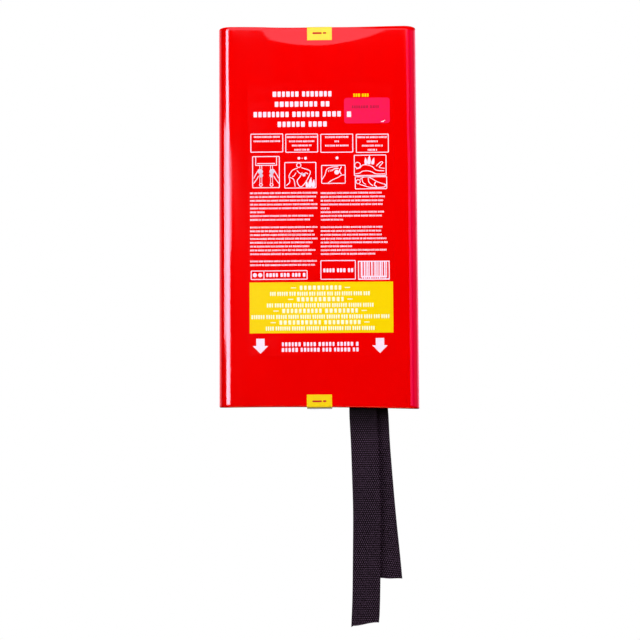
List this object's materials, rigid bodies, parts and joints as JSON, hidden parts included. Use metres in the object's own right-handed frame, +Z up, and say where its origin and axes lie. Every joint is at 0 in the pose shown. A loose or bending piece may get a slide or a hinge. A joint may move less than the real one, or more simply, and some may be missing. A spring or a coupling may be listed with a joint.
{
  "type": "fire blanket",
  "caption": "Folded fire blanket in a slim, round-sided, glossy red wall case that is open at the bottom, with black webbing pull straps hanging out of its mouth.",
  "frame": {"origin": "on the plane of the wall behind the case, midway between the two screws that its keyholes hang on", "axes": "+Z up, +Y into the wall, +X to the right for someone facing the case; the front faces -Y"},
  "size_m": [0.182, 0.0375, 0.5459],
  "materials": {
    "case_red": "high gloss moulded plastic",
    "case_rear": "satin moulded plastic",
    "label_film": "clear printed film on the red cover",
    "lot_pink": "translucent film",
    "seal_yellow": "printed vinyl",
    "glass_cloth": "woven glass fibre",
    "webbing": "plain woven polyester webbing",
    "thread": "sewing thread"
  },
  "bodies": {
    "case": {"rear_shell": "case_rear", "front_cover": "case_red", "instruction_label": "label_film", "lot_sticker": "lot_pink", "top_seal": "seal_yellow", "bottom_seal_front_tab": "seal_yellow", "bottom_seal_rear_tab": "seal_yellow"},
    "blanket": {"folded_blanket": "glass_cloth", "long_strap_sewn_end": "webbing", "short_strap_sewn_end": "webbing", "long_strap_stitching": "thread", "short_strap_stitching": "thread", "bottom_seal_bridge": "seal_yellow"},
    "long_strap": {"pull_strap_long": "webbing"},
    "short_strap": {"pull_strap_short": "webbing"}
  },
  "joints": [
    {"name": "blanket_pull", "type": "slide", "parent": "case", "child": "blanket", "axis": [0, 0, -1], "range_m": [0, 0.31]},
    {"name": "long_strap_lift", "type": "hinge", "parent": "blanket", "child": "long_strap", "pos_m": [0.0405, -0.0312, -0.3277], "axis": [-1, 0, 0], "range_deg": [-5, 80]},
    {"name": "short_strap_lift", "type": "hinge", "parent": "blanket", "child": "short_strap", "pos_m": [0.0505, -0.0249, -0.3277], "axis": [-1, 0, 0], "range_deg": [-5, 70]}
  ],
  "couplings": [
    {"joint": "short_strap_lift", "follows": "long_strap_lift", "ratio": 0.85}
  ]
}
